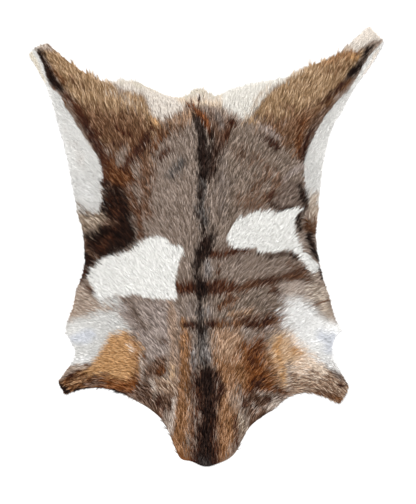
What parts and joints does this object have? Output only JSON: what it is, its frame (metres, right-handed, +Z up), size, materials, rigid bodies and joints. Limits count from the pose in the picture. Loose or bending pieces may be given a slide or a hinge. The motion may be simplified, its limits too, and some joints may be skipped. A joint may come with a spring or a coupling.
{
  "type": "goatskin",
  "caption": "Tanned goatskin with its hair on, laid flat hair side up, with neck, tail and leg skins left on, for use as a rug or throw.",
  "frame": {"origin": "on the floor under the middle of the hide's bounding box", "axes": "+Y along the spine from the neck to the tail, +Z up out of the hair side, +X the side on the right when seen from above with the tail away from the viewer"},
  "size_m": [0.708, 0.878, 0.0147],
  "materials": {
    "hair_on_hide": "matte"
  },
  "bodies": {
    "root": {"goatskin": "hair_on_hide"}
  },
  "joints": []
}
